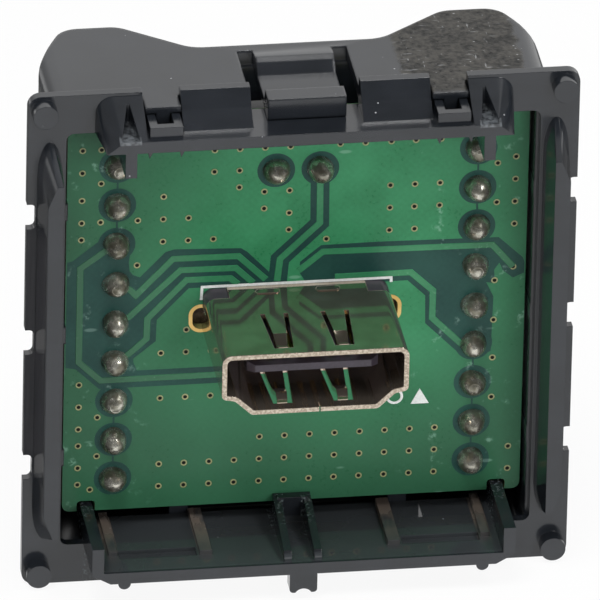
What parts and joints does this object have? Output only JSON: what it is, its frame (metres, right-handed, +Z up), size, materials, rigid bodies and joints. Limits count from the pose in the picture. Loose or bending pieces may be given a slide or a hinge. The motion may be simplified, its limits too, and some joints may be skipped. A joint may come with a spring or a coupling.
{
  "type": "wall video socket insert",
  "caption": "Square flush-mount socket insert: moulded snap frame and lobed rear shell holding a circuit board with a metal video receptacle and rear screw terminals.",
  "frame": {"origin": "centre of the plate's front face, between the four corner studs", "axes": "+X to the right seen from the front, +Z up, +Y into the wall; the receptacle faces -Y"},
  "size_m": [0.0436, 0.0212, 0.0436],
  "materials": {
    "housing": "semi-gloss anthracite moulding",
    "board": "green solder mask",
    "bright_shell": "bright nickel plate",
    "insulator": "black moulding",
    "contacts": "gold-plated",
    "solder": "solder, slightly flux-stained",
    "terminal_body": "green moulding",
    "clamp_metal": "zinc plate",
    "pins": "tinned"
  },
  "bodies": {
    "root": {"front_frame": "housing", "rear_shell": "housing", "circuit_board": "board", "receptacle_shell": "bright_shell", "receptacle_insulator": "insulator", "upper_contacts": "contacts", "lower_contacts": "contacts", "receptacle_solder": "solder", "left_terminal_housing": "terminal_body", "left_clamp_cages": "clamp_metal", "left_clamp_screws": "clamp_metal", "left_terminal_pins": "pins", "left_solder_joints": "solder", "right_terminal_housing": "terminal_body", "right_clamp_cages": "clamp_metal", "right_clamp_screws": "clamp_metal", "right_terminal_pins": "pins", "right_solder_joints": "solder", "top_terminal_housing": "terminal_body", "top_clamp_cages": "clamp_metal", "top_clamp_screws": "clamp_metal", "top_terminal_pins": "pins", "top_solder_joints": "solder"}
  },
  "joints": []
}
